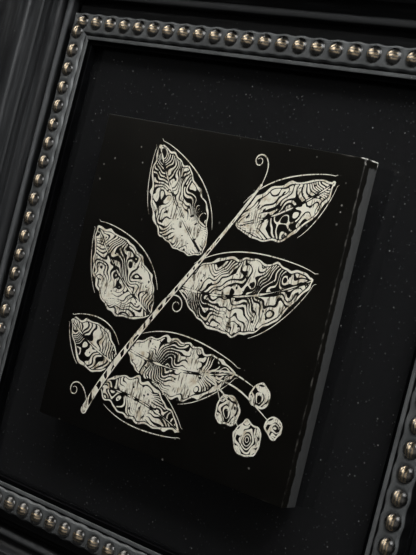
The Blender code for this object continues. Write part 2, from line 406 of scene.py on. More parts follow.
def ramp(tree, value, low, high):
    """A smooth step of a value between two limits."""
    node = tree.nodes.new("ShaderNodeMapRange")
    node.interpolation_type = "SMOOTHSTEP"
    tree.links.new(value, node.inputs["Value"])
    feed(tree, node.inputs["From Min"], low)
    feed(tree, node.inputs["From Max"], high)
    return node.outputs[0]


def object_place(tree, stretch=(1.0, 1.0, 1.0), turn=0.0):
    """Object coordinates, stretched and then turned about the frame's depth."""
    place = tree.nodes.new("ShaderNodeTexCoord")
    mapping = tree.nodes.new("ShaderNodeMapping")
    mapping.inputs["Rotation"].default_value = (0.0, math.radians(turn), 0.0)
    mapping.inputs["Scale"].default_value = stretch
    tree.links.new(place.outputs["Object"], mapping.inputs["Vector"])
    return mapping.outputs[0]


def split(tree, place):
    """The three coordinates of a place."""
    node = tree.nodes.new("ShaderNodeSeparateXYZ")
    tree.links.new(place, node.inputs[0])
    return node.outputs


def out_from_middle(tree, axes):
    """How far a point is from the frame's middle, towards the side it is on."""
    across = math_node(tree, "ABSOLUTE", axes[0])
    upward = math_node(tree, "ABSOLUTE", axes[2])
    return math_node(tree, "MAXIMUM", across, upward)


def noise(tree, place, scale=1.0, detail=2.0, rough=0.5):
    """Cloudy noise, 0 to 1."""
    node = tree.nodes.new("ShaderNodeTexNoise")
    node.inputs["Detail"].default_value = detail
    node.inputs["Roughness"].default_value = rough
    feed(tree, node.inputs["Scale"], scale)
    tree.links.new(place, node.inputs["Vector"])
    return node.outputs["Fac"]


def dust_specks_group():
    """Small round specks that lie here and there: one in a few of the cells, each its own size."""
    inputs = [("Scale", 300.0), ("Share", 0.1), ("Size", 0.2)]
    group, given, out = new_group("dust_specks", inputs, ["Mask"])
    cells = group.nodes.new("ShaderNodeTexVoronoi")
    cells.voronoi_dimensions = "3D"
    group.links.new(object_place(group), cells.inputs["Vector"])
    group.links.new(given.outputs["Scale"], cells.inputs["Scale"])
    parts = group.nodes.new("ShaderNodeSeparateColor")
    group.links.new(cells.outputs["Color"], parts.inputs[0])
    chosen = math_node(group, "LESS_THAN", parts.outputs[0], given.outputs["Share"])
    reach = math_node(group, "MULTIPLY", parts.outputs[1], given.outputs["Size"])
    near = math_node(group, "SUBTRACT", reach, cells.outputs["Distance"])
    edge = ramp(group, near, low=0.0, high=0.06)
    strength = math_node(group, "MULTIPLY", edge, parts.outputs[2])
    group.links.new(math_node(group, "MULTIPLY", strength, chosen), out.inputs["Mask"])
    return group


def fine_grain_group():
    """Pebbled paint grain: a fine grain with slower unevenness under it."""
    inputs = [("Scale", 1500.0), ("Unevenness", 0.4)]
    group, given, out = new_group("fine_grain", inputs, ["Height"])
    place = object_place(group)
    fine = noise(group, place, given.outputs["Scale"], detail=3.0, rough=0.6)
    slow_scale = math_node(group, "MULTIPLY", given.outputs["Scale"], 0.12)
    slow = math_node(group, "MULTIPLY", noise(group, place, slow_scale), given.outputs["Unevenness"])
    group.links.new(math_node(group, "ADD", fine, slow), out.inputs["Height"])
    return group


def smudges_group():
    """Slow, cloudy marks that change how light and how glossy a surface is."""
    group, given, out = new_group("smudges", [("Scale", 30.0)], ["Mask"])
    cloud = noise(group, object_place(group), given.outputs["Scale"], detail=4.0, rough=0.6)
    group.links.new(ramp(group, cloud, low=0.35, high=0.7), out.inputs["Mask"])
    return group


def ridge_highlight_group():
    """The front of the moulding's ridge, where a painted highlight of light grey lies, uneven at its
    borders.
    """
    group, given, out = new_group("ridge_highlight", [("Unevenness", 0.5)], ["Mask"])
    axes = split(group, object_place(group))
    offset = math_node(group, "SUBTRACT", out_from_middle(group, axes), (HALF + RIDGE_HIGHLIGHT_LINE) * MM)
    sway = RIDGE_HIGHLIGHT_WANDER * MM
    wander = math_node(group, "MULTIPLY_ADD", given.outputs["Unevenness"], sway, -sway / 2.0)
    reach = math_node(group, "ADD", math_node(group, "ABSOLUTE", offset), wander)
    beyond = ramp(group, reach, low=RIDGE_HIGHLIGHT_FULL * MM, high=RIDGE_HIGHLIGHT_END * MM)
    ridge = math_node(group, "SUBTRACT", 1.0, beyond)
    front = math_node(group, "LESS_THAN", axes[1], 0.0)
    group.links.new(math_node(group, "MULTIPLY", ridge, front), out.inputs["Mask"])
    return group


def make_groups():
    """The effects that more than one material uses."""
    GROUPS["dust_specks"] = dust_specks_group()
    GROUPS["fine_grain"] = fine_grain_group()
    GROUPS["smudges"] = smudges_group()
    GROUPS["ridge_highlight"] = ridge_highlight_group()


def use(tree, name, **values):
    """Puts a shared group in a material, with its own values, and returns the group's output."""
    node = tree.nodes.new("ShaderNodeGroup")
    node.node_tree = GROUPS[name]
    for label, value in values.items():
        feed(tree, node.inputs[label], value)
    return node.outputs[0]


def start_material(name, roughness, metallic=0.0, specular=0.5):
    """A material with its Principled shader. Returns it with its tree and the shader."""
    made = bpy.data.materials.new(name)
    made.use_nodes = True
    shader = made.node_tree.nodes["Principled BSDF"]
    shader.inputs["Roughness"].default_value = roughness
    shader.inputs["Metallic"].default_value = metallic
    shader.inputs["Specular IOR Level"].default_value = specular
    return made, made.node_tree, shader


def mixed(tree, mask, low, high):
    """A colour between two, by a mask. Each is a tuple or an output."""
    node = tree.nodes.new("ShaderNodeMix")
    node.data_type = "RGBA"
    tree.links.new(mask, node.inputs["Factor"])
    for socket, colour in ((node.inputs[6], low), (node.inputs[7], high)):
        if isinstance(colour, tuple):
            socket.default_value = (*colour, 1.0)
        else:
            tree.links.new(colour, socket)
    return node.outputs[2]


def set_colour(tree, shader, tone):
    """Gives the shader its colour."""
    tree.links.new(tone, shader.inputs["Base Color"])


def set_roughness(tree, shader, mask, low, high):
    """Roughness between two values, by a mask."""
    node = tree.nodes.new("ShaderNodeMix")
    node.data_type = "FLOAT"
    tree.links.new(mask, node.inputs["Factor"])
    node.inputs[2].default_value = low
    node.inputs[3].default_value = high
    tree.links.new(node.outputs[0], shader.inputs["Roughness"])


def bump(tree, shader, height, distance):
    """Raises the surface by a height, at most so many metres."""
    node = tree.nodes.new("ShaderNodeBump")
    node.inputs["Distance"].default_value = distance
    tree.links.new(height, node.inputs["Height"])
    tree.links.new(node.outputs[0], shader.inputs["Normal"])


def satin_black_paint(name, stretch):
    """Black paint on the moulding, with soft streaks along the wood, fine grain, a little dust and a
    painted highlight on the ridge.
    """
    black = (0.0085, 0.0087, 0.0092)
    streak_black = (0.0190, 0.0194, 0.0199)
    grain_grey = (0.033, 0.034, 0.035)
    # painted highlight colour for the ridge
    ridge_highlight_grey = (0.115, 0.118, 0.120)
    dust_grey = (0.07, 0.07, 0.065)
    made, tree, shader = start_material(name, roughness=0.4, specular=0.35)
    along = object_place(tree, stretch)
    streaks = noise(tree, along, detail=3.0, rough=0.55)
    fine = noise(tree, along, scale=5.0, detail=3.0, rough=0.6)
    tone = mixed(tree, ramp(tree, streaks, low=0.3, high=0.7), black, streak_black)
    tone = mixed(tree, ramp(tree, fine, low=0.45, high=0.75), tone, grain_grey)
    # painted highlight: light grey on the front of the ridge
    tone = mixed(tree, use(tree, "ridge_highlight", Unevenness=fine), tone, ridge_highlight_grey)
    dust = use(tree, "dust_specks", Scale=600.0, Share=0.06, Size=0.2)
    set_colour(tree, shader, mixed(tree, dust, tone, dust_grey))
    set_roughness(tree, shader, ramp(tree, streaks, low=0.25, high=0.75), low=0.34, high=0.46)
    grain = math_node(tree, "ADD", fine, use(tree, "fine_grain", Scale=1600.0))
    bump(tree, shader, grain, distance=0.00004)
    return made


def pewter_paint():
    """The strip's grey metal paint, pebbled, darker in patches and light with wear in places, with painted
    shade nearly black in the line between lip and strip."""
    grey = (0.098, 0.101, 0.101)
    light_grey = (0.145, 0.149, 0.148)
    worn_grey = (0.30, 0.30, 0.29)
    shade_line_black = (0.005, 0.005, 0.0052)
    made, tree, shader = start_material("pewter_paint", roughness=0.45, metallic=0.3)
    cloud = use(tree, "smudges", Scale=120.0)
    tone = mixed(tree, cloud, grey, light_grey)
    specks = use(tree, "dust_specks", Scale=700.0, Share=0.12, Size=0.25)
    tone = mixed(tree, specks, tone, worn_grey)
    depth = split(tree, object_place(tree))[1]
    # painted shade: the recess between lip and strip is coloured nearly black
    painted_shade = ramp(tree, depth, (LIP_Y + SHADE_LINE_START) * MM, (LIP_Y + SHADE_LINE_FULL) * MM)
    set_colour(tree, shader, mixed(tree, painted_shade, tone, shade_line_black))
    set_roughness(tree, shader, cloud, low=0.36, high=0.5)
    bump(tree, shader, use(tree, "fine_grain", Scale=1500.0, Unevenness=1.2), distance=0.00006)
    return made


def rubbed_crown(tree):
    """A mask of each bead's crown, where gold is rubbed on in streaks along the strip."""
    axes = split(tree, object_place(tree))
    offset = math_node(tree, "SUBTRACT", out_from_middle(tree, axes), (HALF + BEAD_ROW) * MM)
    ragged = math_node(tree, "SUBTRACT", use(tree, "smudges", Scale=900.0), 0.5)
    wander = math_node(tree, "MULTIPLY", ragged, GOLD_WANDER * MM)
    forward = math_node(tree, "ADD", math_node(tree, "SUBTRACT", LIP_Y * MM, axes[1]), wander)
    crown = ramp(tree, forward, low=GOLD_START * MM, high=GOLD_FULL * MM)
    aside = math_node(tree, "ADD", math_node(tree, "ABSOLUTE", offset), wander)
    band = math_node(tree, "SUBTRACT", 1.0, ramp(tree, aside, low=GOLD_WIDE * MM, high=GOLD_END * MM))
    shifted = math_node(tree, "ADD", offset, wander)
    turns = math_node(tree, "MULTIPLY", shifted, math.tau / (GOLD_STREAK * MM))
    streaks = ramp(tree, math_node(tree, "COSINE", turns), low=-0.6, high=0.1)
    return math_node(tree, "MULTIPLY", math_node(tree, "MULTIPLY", crown, band), streaks)


def rubbed_metal_beads():
    """Grey metal beads with gold rubbed on their crowns and a faint tarnish."""
    tarnish = (0.19, 0.185, 0.18)
    grey_metal = (0.29, 0.285, 0.275)
    gold = (0.80, 0.66, 0.47)
    made, tree, shader = start_material("rubbed_metal_beads", roughness=0.28, metallic=1.0)
    cloud = use(tree, "smudges", Scale=500.0)
    tone = mixed(tree, cloud, tarnish, grey_metal)
    set_colour(tree, shader, mixed(tree, rubbed_crown(tree), tone, gold))
    set_roughness(tree, shader, cloud, low=0.22, high=0.34)
    bump(tree, shader, use(tree, "fine_grain", Scale=900.0, Unevenness=1.0), distance=0.00004)
    return made


def flat_black_paint():
    """The inner step's duller black."""
    black = (0.0010, 0.0010, 0.0012)
    dull_black = (0.0020, 0.0021, 0.0024)
    dust_grey = (0.04, 0.04, 0.04)
    made, tree, shader = start_material("flat_black_paint", roughness=0.5, specular=0.06)
    cloud = use(tree, "smudges", Scale=200.0)
    dust = use(tree, "dust_specks", Scale=500.0, Share=0.06, Size=0.2)
    tone = mixed(tree, cloud, black, dull_black)
    set_colour(tree, shader, mixed(tree, dust, tone, dust_grey))
    set_roughness(tree, shader, cloud, low=0.4, high=0.55)
    bump(tree, shader, use(tree, "fine_grain", Scale=1800.0), distance=0.00003)
    return made


def dusty_black_board():
    """Gloss black with a thin veil of settled dust and many small light specks."""
    black = (0.0068, 0.0069, 0.0072)
    veiled_black = (0.0086, 0.0087, 0.0091)
    mottle_black = (0.0125, 0.0126, 0.0131)
    dust_grey = (0.055, 0.056, 0.057)
    light_dust = (0.22, 0.22, 0.21)
    made, tree, shader = start_material("dusty_black_board", roughness=0.15)
    veil = use(tree, "smudges", Scale=14.0)
    tone = mixed(tree, veil, black, veiled_black)
    tone = mixed(tree, use(tree, "smudges", Scale=1900.0), tone, mottle_black)
    small = use(tree, "dust_specks", Scale=700.0, Share=0.8, Size=0.28)
    tone = mixed(tree, small, tone, dust_grey)
    large = use(tree, "dust_specks", Scale=420.0, Share=0.65, Size=0.2)
    set_colour(tree, shader, mixed(tree, large, tone, light_dust))
    set_roughness(tree, shader, veil, low=0.11, high=0.17)
    bump(tree, shader, use(tree, "fine_grain", Scale=1400.0, Unevenness=0.5), distance=0.00002)
    return made


def panel_place(tree):
    """A point in the panel's own upright frame, in metres from its middle."""
    place = tree.nodes.new("ShaderNodeTexCoord")
    mapping = tree.nodes.new("ShaderNodeMapping")
    mapping.vector_type = "TEXTURE"
    mapping.inputs["Location"].default_value = PANEL_MIDDLE
    mapping.inputs["Rotation"].default_value = (PANEL_LEAN, 0.0, 0.0)
    tree.links.new(place.outputs["Object"], mapping.inputs["Vector"])
    return mapping.outputs[0]


def bare_sides(tree, axes, ragged):
    """A mask of the panel's sides behind the coating's ragged edge. Its top stays coated."""
    sway = math_node(tree, "SUBTRACT", ragged, 0.5)
    wander = math_node(tree, "MULTIPLY", sway, COAT_WANDER * MM)
    depth = math_node(tree, "ADD", axes[1], wander)
    behind = ramp(tree, depth, COAT_END[0] * MM, COAT_END[1] * MM)
    below = math_node(tree, "SUBTRACT", wander, axes[2])
    return math_node(tree, "MULTIPLY", behind, ramp(tree, below, COAT_TOP[0] * MM, COAT_TOP[1] * MM))


def arris_glint_mask(tree, axes, ragged, corner_glint):
    """A mask of painted highlight on the arrises towards the panel's right, in patches, strongest as a
    painted glint at the top right corner."""
    near = []
    for axis, side in zip(axes, (PANEL_SIDE, PANEL_THICK, PANEL_SIDE)):
        distance = math_node(tree, "ABSOLUTE", axis)
        inside = (side / 2.0 - ARRIS_INSIDE) * MM
        outside = (side / 2.0 - ARRIS_OUTSIDE) * MM
        near.append(ramp(tree, distance, inside, outside))
    pairs = [math_node(tree, "MULTIPLY", near[one], near[two]) for one, two in ((0, 1), (0, 2), (1, 2))]
    arris = math_node(tree, "MAXIMUM", math_node(tree, "MAXIMUM", pairs[0], pairs[1]), pairs[2])
    # painted glint patches near the top right corner
    corner_glint_patches = math_node(tree, "MULTIPLY", corner_glint, ramp(tree, ragged, low=0.34, high=0.54))
    patches = math_node(tree, "MAXIMUM", ramp(tree, ragged, low=0.46, high=0.62), corner_glint_patches)
    painted_glint = math_node(tree, "MULTIPLY", arris, patches)
    # painted highlight kept towards the panel's right-hand side
    return math_node(tree, "MULTIPLY", painted_glint, ramp(tree, axes[0], GLINT_FROM * MM, GLINT_FULL * MM))


def black_panel_coating():
    """Warm black coating over the front, bare grey board on the sides behind a ragged edge, and a painted
    highlight on the right-hand arrises with a painted glint at the top right corner.
    """
    black = (0.0036, 0.0032, 0.0024)
    warm_black = (0.0052, 0.0047, 0.0036)
    dust_brown = (0.022, 0.020, 0.017)
    light_dust = (0.20, 0.19, 0.17)
    board_grey = (0.030, 0.030, 0.0295)
    board_light = (0.047, 0.047, 0.046)
    arris_glint_brown = (0.045, 0.042, 0.037)
    corner_glint_cream = (0.52, 0.50, 0.46)
    made, tree, shader = start_material("warm_black_panel", roughness=0.4, specular=0.2)
    place = panel_place(tree)
    axes = split(tree, place)
    ragged = noise(tree, place, scale=260.0, detail=3.0, rough=0.65)
    coat = mixed(tree, use(tree, "smudges", Scale=60.0), black, warm_black)
    small = use(tree, "dust_specks", Scale=700.0, Share=0.4, Size=0.26)
    coat = mixed(tree, small, coat, dust_brown)
    large = use(tree, "dust_specks", Scale=420.0, Share=0.28, Size=0.19)
    coat = mixed(tree, large, coat, light_dust)
    fibre = noise(tree, object_place(tree, stretch=(900.0, 900.0, 260.0)))
    board = mixed(tree, fibre, board_grey, board_light)
    bare = bare_sides(tree, axes, ragged)
    tone = mixed(tree, bare, coat, board)
    # painted glint reaching round the top right corner
    to_corner = math_node(tree, "ADD", axes[0], axes[2])
    corner_glint = ramp(tree, to_corner, GLINT_CORNER[0] * MM, GLINT_CORNER[1] * MM)
    # painted highlight colours: brown along the arrises, cream at the corner
    rubbed = mixed(tree, corner_glint, arris_glint_brown, corner_glint_cream)
    painted_glint = arris_glint_mask(tree, axes, ragged, corner_glint)
    # the painted highlight laid over the coating
    set_colour(tree, shader, mixed(tree, painted_glint, tone, rubbed))
    set_roughness(tree, shader, bare, low=0.4, high=0.8)
    bump(tree, shader, use(tree, "fine_grain", Scale=1200.0, Unevenness=0.5), distance=0.00002)
    return made


def scratched_cream():
    """The cream ground under the coating, stained brown in places and streaked by the tool."""
    cream = (0.84, 0.80, 0.67)
    stain_brown = (0.56, 0.46, 0.31)
    streak_brown = (0.17, 0.145, 0.10)
    made, tree, shader = start_material("scratched_cream", roughness=0.62, specular=0.3)
    stain = noise(tree, object_place(tree), scale=330.0, detail=3.0, rough=0.6)
    tone = mixed(tree, ramp(tree, stain, low=0.5, high=0.75), cream, stain_brown)
    scratches = noise(tree, object_place(tree, stretch=(1800.0, 400.0, 280.0), turn=35.0), rough=0.6)
    here_and_there = ramp(tree, use(tree, "smudges", Scale=200.0), low=0.25, high=0.6)
    streaks = math_node(tree, "MULTIPLY", ramp(tree, scratches, low=0.50, high=0.60), here_and_there)
    set_colour(tree, shader, mixed(tree, streaks, tone, streak_brown))
    bump(tree, shader, use(tree, "fine_grain", Scale=2600.0), distance=0.00005)
    return made


def black_foam():
    """The spacer's open black foam."""
    made, tree, shader = start_material("black_foam", roughness=0.9, specular=0.2)
    pores = tree.nodes.new("ShaderNodeTexVoronoi")
    pores.inputs["Scale"].default_value = 900.0
    tree.links.new(object_place(tree), pores.inputs["Vector"])
    pore_black = (0.006, 0.006, 0.006)
    wall_black = (0.03, 0.03, 0.03)
    set_colour(tree, shader, mixed(tree, pores.outputs["Distance"], pore_black, wall_black))
    bump(tree, shader, pores.outputs["Distance"], distance=0.0003)
    return made


def brown_hardboard():
    """Pressed brown hardboard: matted fibres with a few darker ones."""
    dark_brown = (0.10, 0.052, 0.025)
    light_brown = (0.27, 0.155, 0.08)
    brown = (0.19, 0.105, 0.052)
    made, tree, shader = start_material("brown_hardboard", roughness=0.75, specular=0.3)
    fibres = noise(tree, object_place(tree, stretch=(420.0, 420.0, 1300.0)), detail=4.0, rough=0.7)
    cross = noise(tree, object_place(tree, stretch=(1300.0, 420.0, 420.0)), detail=4.0, rough=0.7)
    matted = math_node(tree, "MULTIPLY", fibres, cross)
    tone = mixed(tree, ramp(tree, matted, low=0.12, high=0.4), dark_brown, light_brown)
    set_colour(tree, shader, mixed(tree, use(tree, "smudges", Scale=18.0), tone, brown))
    bump(tree, shader, matted, distance=0.00025)
    return made


def zinc_plate():
    """Zinc plated steel, slightly cloudy and brushed."""
    dull_zinc = (0.42, 0.42, 0.41)
    bright_zinc = (0.60, 0.60, 0.57)
    made, tree, shader = start_material("zinc_plate", roughness=0.36, metallic=1.0)
    cloud = use(tree, "smudges", Scale=260.0)
    set_colour(tree, shader, mixed(tree, cloud, dull_zinc, bright_zinc))
    set_roughness(tree, shader, cloud, low=0.28, high=0.5)
    brushed = noise(tree, object_place(tree, stretch=(300.0, 300.0, 6000.0)))
    bump(tree, shader, brushed, distance=0.00003)
    return made


def paint(piece, finish):
    """Gives a piece one finish all over."""
    piece.data.materials.clear()
    piece.data.materials.append(finish)


def place_piece(piece, finish, slot, *nodes):
    """Finishes a new piece, rides it on the frame and hides the solids it stands for."""
    paint(piece, finish)
    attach(piece, "root")
    if nodes:
        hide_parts(*nodes)


def moulding_outline():
    """The moulding's cross-section: ledge, groove, ridge, hollow, step and the broad outer hump."""
    outline = [(REBATE, -RAIL_BACK), (REBATE, -LEDGE_BACK), (SEAT, -LEDGE_BACK), (SEAT, LEDGE)]
    outline += [(12.9, LEDGE), (13.3, LEDGE - 0.5), (13.4, GROOVE_BED), (15.0, GROOVE_BED)]
    outline += arc(RIDGE, RIDGE_RADIUS, 180.0, 0.0, 12)
    outline += [(17.9, -4.6)]
    outline += arc(HOLLOW, HOLLOW_RADIUS, -83.0, -8.0, 12)
    outline += [(21.45, -0.3), (21.7, -0.1), (25.4, 0.5), (25.9, 1.1), (26.3, 4.6)]
    outline += arc(SHOULDER, SHOULDER_RADIUS, 165.0, 96.0, 12)
    outline += arc((HUMP_START, HUMP_HEIGHT - HUMP_RADIUS), HUMP_RADIUS, 90.0, 79.8, 8)
    outer = (MOULDING_WIDTH - OUTER_ROUND, -OUTER_ROUND_SINK)
    outline += arc(outer, OUTER_ROUND, 77.0, 0.0, 14)
    outline += [(MOULDING_WIDTH, -RAIL_BACK + BACK_CHAMFER), (MOULDING_WIDTH - BACK_CHAMFER, -RAIL_BACK)]
    return outline


def mouldings(upright, level):
    """Four mitred lengths of moulding."""
    length = SIGHT + 2.0 * MOULDING_WIDTH + MITRE_WASTE
    rail = bar("black_moulding_top", moulding_outline(), -length / 2.0, length, 1)
    cut_mitres(rail)
    face_outwards(rail)
    smooth(rail, 24.0)
    rails = [rail]
    for index, side in enumerate(SIDES[1:], start=1):
        rails.append(copy_to_side(rail, f"black_moulding_{side}", index))
    for index, (piece, side) in enumerate(zip(rails, SIDES)):
        place_piece(piece, upright if index % 2 else level, "black_frame", f"frame_rail_{side}")


def strip_outline():
    """The thin lip and the flat of the strip, before the strip is raised into shape."""
    outline = [(1.7, LINER_FOOT), (1.7, -LINER_LIP_BACK), (0.0, -LINER_LIP_BACK)]
    outline += arc((LIP_ROUND, -LIP_ROUND), LIP_ROUND, 180.0, 90.0, 3)
    outline += [(0.85, 0.02), (1.15, 0.0), (1.24, -0.12), (1.28, -0.62)]
    for share in STRIP_STEPS:
        outline.append((STRIP_INNER + share * (STRIP_OUTER - STRIP_INNER), 0.0))
    outline.append((STRIP_OUTER, LINER_FOOT))
    return outline


def strip_height(along, outward, inner, outer, share):
    """How far the strip stands in front of the lip: a low crown between rounded edges, with a dish
    pressed round the bead."""
    from_bead = math.hypot(along, outward - BEAD_ROW)
    edge = min(1.0, max(0.0, min(outward - inner, outer - outward)) / STRIP_ROUND)
    rounded = edge ** STRIP_FULLNESS
    crown = STRIP_CROWN * (1.0 - (2.0 * share - 1.0) ** 2)
    dish = STRIP_DISH * (1.0 - ease((from_bead - BEAD_RADIUS + DISH_OVERLAP) / DISH_EASE))
    return STRIP_FOOT + (STRIP_RISE - STRIP_FOOT) * rounded + crown - dish


def shape_strip(piece):
    """Raises the strip's front over the lip, with wavy edges."""
    width = STRIP_OUTER - STRIP_INNER
    inmost = STRIP_INNER - TOUCHING / MM
    deepest = LINER_FOOT / 2.0
    for vertex in piece.data.vertices:
        along = vertex.co.x / MM
        outward = vertex.co.z / MM - HALF
        forward = LIP_Y - vertex.co.y / MM
        if outward < inmost:
            continue
        wave = math.cos(2.0 * math.pi * along / BEAD_PITCH)
        inner = STRIP_INNER - STRIP_WAVE * wave
        outer = STRIP_OUTER + STRIP_WAVE * wave
        share = (outward - STRIP_INNER) / width
        outward = inner + share * (outer - inner)
        if forward > deepest:
            forward = strip_height(along, outward, inner, outer, share)
        vertex.co.z = (HALF + outward) * MM
        vertex.co.y = (LIP_Y - forward) * MM


def bead_places(side):
    """Each bead's distance along a side from its middle, clear of the mitred ends."""
    reach = HALF + BEAD_ROW - BEAD_RADIUS / 2.0
    first = -(BEADS_PER_SIDE // 2) - 1
    places = [(first + step + BEAD_PHASE[side]) * BEAD_PITCH for step in range(BEADS_PER_SIDE + 2)]
    return [place for place in places if abs(place) < reach]


def strip_cell():
    """One bead's length of the strip, open at both ends so that it joins to the next."""
    step = BEAD_PITCH / SECTIONS_PER_BEAD
    cell = bar("strip_cell", strip_outline(), -BEAD_PITCH / 2.0, step, SECTIONS_PER_BEAD)
    ends = BEAD_PITCH / 2.0 * MM
    pick_faces(cell, lambda face: abs(abs(face.center.x) - ends) < TOUCHING)
    bpy.ops.mesh.delete(type="ONLY_FACE")
    bpy.ops.object.mode_set(mode="OBJECT")
    shape_strip(cell)
    return cell


def strips(finish):
    """Four mitred strips, each with its dishes under its own beads."""
    cell = strip_cell()
    count = BEADS_PER_SIDE + 4
    for index, side in enumerate(SIDES):
        strip = copy_to_side(cell, f"beaded_strip_{side}", 0)
        row = strip.modifiers.new("row", "ARRAY")
        row.count = count
        row.use_relative_offset = False
        row.use_constant_offset = True
        row.constant_offset_displace = (BEAD_PITCH * MM, 0.0, 0.0)
        row.use_merge_vertices = True
        row.merge_threshold = TOUCHING
        finish_modifiers(strip)
        first = BEAD_PHASE[side] - count // 2
        strip.data.transform(Matrix.Translation((first * BEAD_PITCH * MM, 0.0, 0.0)))
        cut_mitres(strip)
        face_outwards(strip)
        smooth(strip, 40.0)
        strip.data.transform(Matrix.Rotation(math.radians(90.0 * index), 4, "Y"))
        place_piece(strip, finish, "beaded_trim", f"beaded_liner_{side}")
    bpy.data.objects.remove(cell)


def bead_ball():
    """One bead, trimmed behind."""
    drop_selection()
    bpy.ops.mesh.primitive_ico_sphere_add(subdivisions=4, radius=BEAD_RADIUS * MM)
    bead = bpy.context.object
    rename(bead, "bead")
    bpy.ops.object.mode_set(mode="EDIT")
    bpy.ops.mesh.select_all(action="SELECT")
    bpy.ops.mesh.bisect(
        plane_co=(0.0, BEAD_BACK * MM, 0.0), plane_no=(0.0, 1.0, 0.0), use_fill=True, clear_outer=True)
    bpy.ops.object.mode_set(mode="OBJECT")
    smooth(bead, 40.0)
    return bead


def beads(finish):
    """The bead is modelled once and copied along each side."""
    bead = bead_ball()
    for index, side in enumerate(SIDES):
        copies = []
        for place in bead_places(side):
            one = copy_to_side(bead, "bead_copy", 0)
            one.data.transform(Matrix.Translation(
                (place * MM, (LIP_Y + BEAD_SINK) * MM, (HALF + BEAD_ROW) * MM)))
            copies.append(one)
        drop_selection()
        for one in copies:
            one.select_set(True)
        bpy.context.view_layer.objects.active = copies[0]
        bpy.ops.object.join()
        row = bpy.context.object
        rename(row, f"bead_row_{side}")
        row.data.transform(Matrix.Rotation(math.radians(90.0 * index), 4, "Y"))
        place_piece(row, finish, "beaded_trim")
    bpy.data.objects.remove(bead)


def panel(finish):
    """The panel, its arrises eased."""
    drop_selection()
    bpy.ops.mesh.primitive_cube_add(size=1.0)
    slab = bpy.context.object
    rename(slab, "scratch_panel")
    slab.data.transform(Matrix.Diagonal((PANEL_SIDE * MM, PANEL_THICK * MM, PANEL_SIDE * MM, 1.0)))
    edge = slab.modifiers.new("arris", "BEVEL")
    edge.width = PANEL_ARRIS * MM
    edge.segments = 3
    finish_modifiers(slab)
    smooth(slab, 35.0)
    slab.data.transform(PANEL_PLACE)
    place_piece(slab, finish, "engraved_panel", "engraved_panel")


def curve_point(points, share):
    """A point on a cubic Bezier curve."""
    rest = 1.0 - share
    weights = (rest ** 3, 3.0 * rest * rest * share, 3.0 * rest * share * share, share ** 3)
    return tuple(sum(weight * point[axis] for weight, point in zip(weights, points)) for axis in (0, 1))


def wandering(waves, number, across, up):
    """A smooth random field, about -1 to 1, as a sum of plain waves."""
    first_seed, wavelength = waves
    draw = random.Random(first_seed + number)
    total = np.zeros_like(across)
    for _ in range(WAVE_COUNT):
        heading = draw.uniform(0.0, 2.0 * math.pi)
        rate = 2.0 * math.pi / (wavelength * draw.uniform(*WAVE_SPREAD))
        start = draw.uniform(0.0, 2.0 * math.pi)
        total += np.sin(rate * math.cos(heading) * across + rate * math.sin(heading) * up + start)
    return total * math.sqrt(2.0 / WAVE_COUNT)


def zigzag(phase):
    """Runs from 1 to 0 and back within each whole number."""
    return np.abs(2.0 * (phase - np.floor(phase)) - 1.0)


def edge_line(inside, middle, half):
    """A line that follows an edge: how far inside the edge its middle lies, and its half width."""
    return half - np.abs(inside - middle)


def leaf_width(leaf, share):
    """Half of a leaf's width at a share of its length."""
    return leaf.half_width * np.sin(math.pi * share ** LEAF_SKEW) ** LEAF_FULLNESS


def leaf_bow(leaf, share):
    """How far a leaf's midrib bends aside at a share of its length."""
    return -leaf.bend * leaf.length * 2.0 * share * (share - 1.0)


def leaf_field(leaf, number, across, up):
    """How far inside the leaf's cream lines a point is, in millimetres; negative is black."""
    angle = math.radians(leaf.heading)
    along = (across - leaf.across) * math.cos(angle) + (up - leaf.up) * math.sin(angle)
    aside = -(across - leaf.across) * math.sin(angle) + (up - leaf.up) * math.cos(angle)
    share = np.clip(along / leaf.length, 0.0, 1.0)
    from_rib = np.abs(aside - leaf_bow(leaf, share))
    slow = wandering(SLOW_WAVES, number, across, up)
    quick = wandering(QUICK_WAVES, number, across, up)
    shade = wandering(SHADE_WAVES, number, across, up)
    hatch = wandering(HATCH_WAVES, number, across, up)

    width = leaf_width(leaf, share)
    width = width + LEAF_RAGGED * quick * (width > LEAF_BORDER)
    inside = width - from_rib
    inside = np.where((along < 0.0) | (along > leaf.length), -1.0, inside)

    phase = (along - STRIPE_SLANT * from_rib) / STRIPE_PITCH + (1.5 * slow + 0.35 * quick)
    stripes = (0.60 + 0.20 * shade - zigzag(phase)) * 1.1
    stripes = np.minimum(stripes, 1.05 + 0.5 * hatch)
    beside_rib = from_rib - 0.45
    fill = np.minimum(np.minimum(stripes, inside - LEAF_BORDER), beside_rib)
    rim = edge_line(inside, middle=0.35, half=0.32)
    rib = np.minimum(0.16 + 0.12 * quick - from_rib, inside - 0.3)
    return np.maximum(np.maximum(fill, rim), rib), inside


def fruit_field(fruit, number, across, up):
    """A round seed case with broken rings."""
    middle_across, middle_up, radius = fruit
    wobble = wandering(RING_WAVES, number, across, up)
    from_middle = np.hypot(across - middle_across, up - middle_up)
    inside = radius + 0.2 * wobble - from_middle
    phase = (from_middle + 0.5 * wobble) / RING_PITCH + 0.5
    rings = (0.55 + 0.2 * wobble - zigzag(phase)) * 0.6
    fill = np.minimum(rings, inside - FRUIT_BORDER)
    return np.maximum(fill, edge_line(inside, middle=0.3, half=0.26)), inside


def stem_field(across, up):
    """The tapering stem with its grain."""
    stem = np.full_like(across, -1.0)
    for step in range(STEM_STEPS + 1):
        share = step / STEM_STEPS
        middle_across, middle_up = curve_point(STEM, share)
        thick = STEM_THICK - STEM_TAPER * share
        stem = np.maximum(stem, thick - np.hypot(across - middle_across, up - middle_up))
    grain = wandering(STEM_WAVES, 0, across, up * STEM_GRAIN_STRETCH)
    lines = np.minimum(stem, 0.35 + 0.8 * grain)
    return np.maximum(lines, edge_line(stem, middle=0.16, half=0.16)), stem


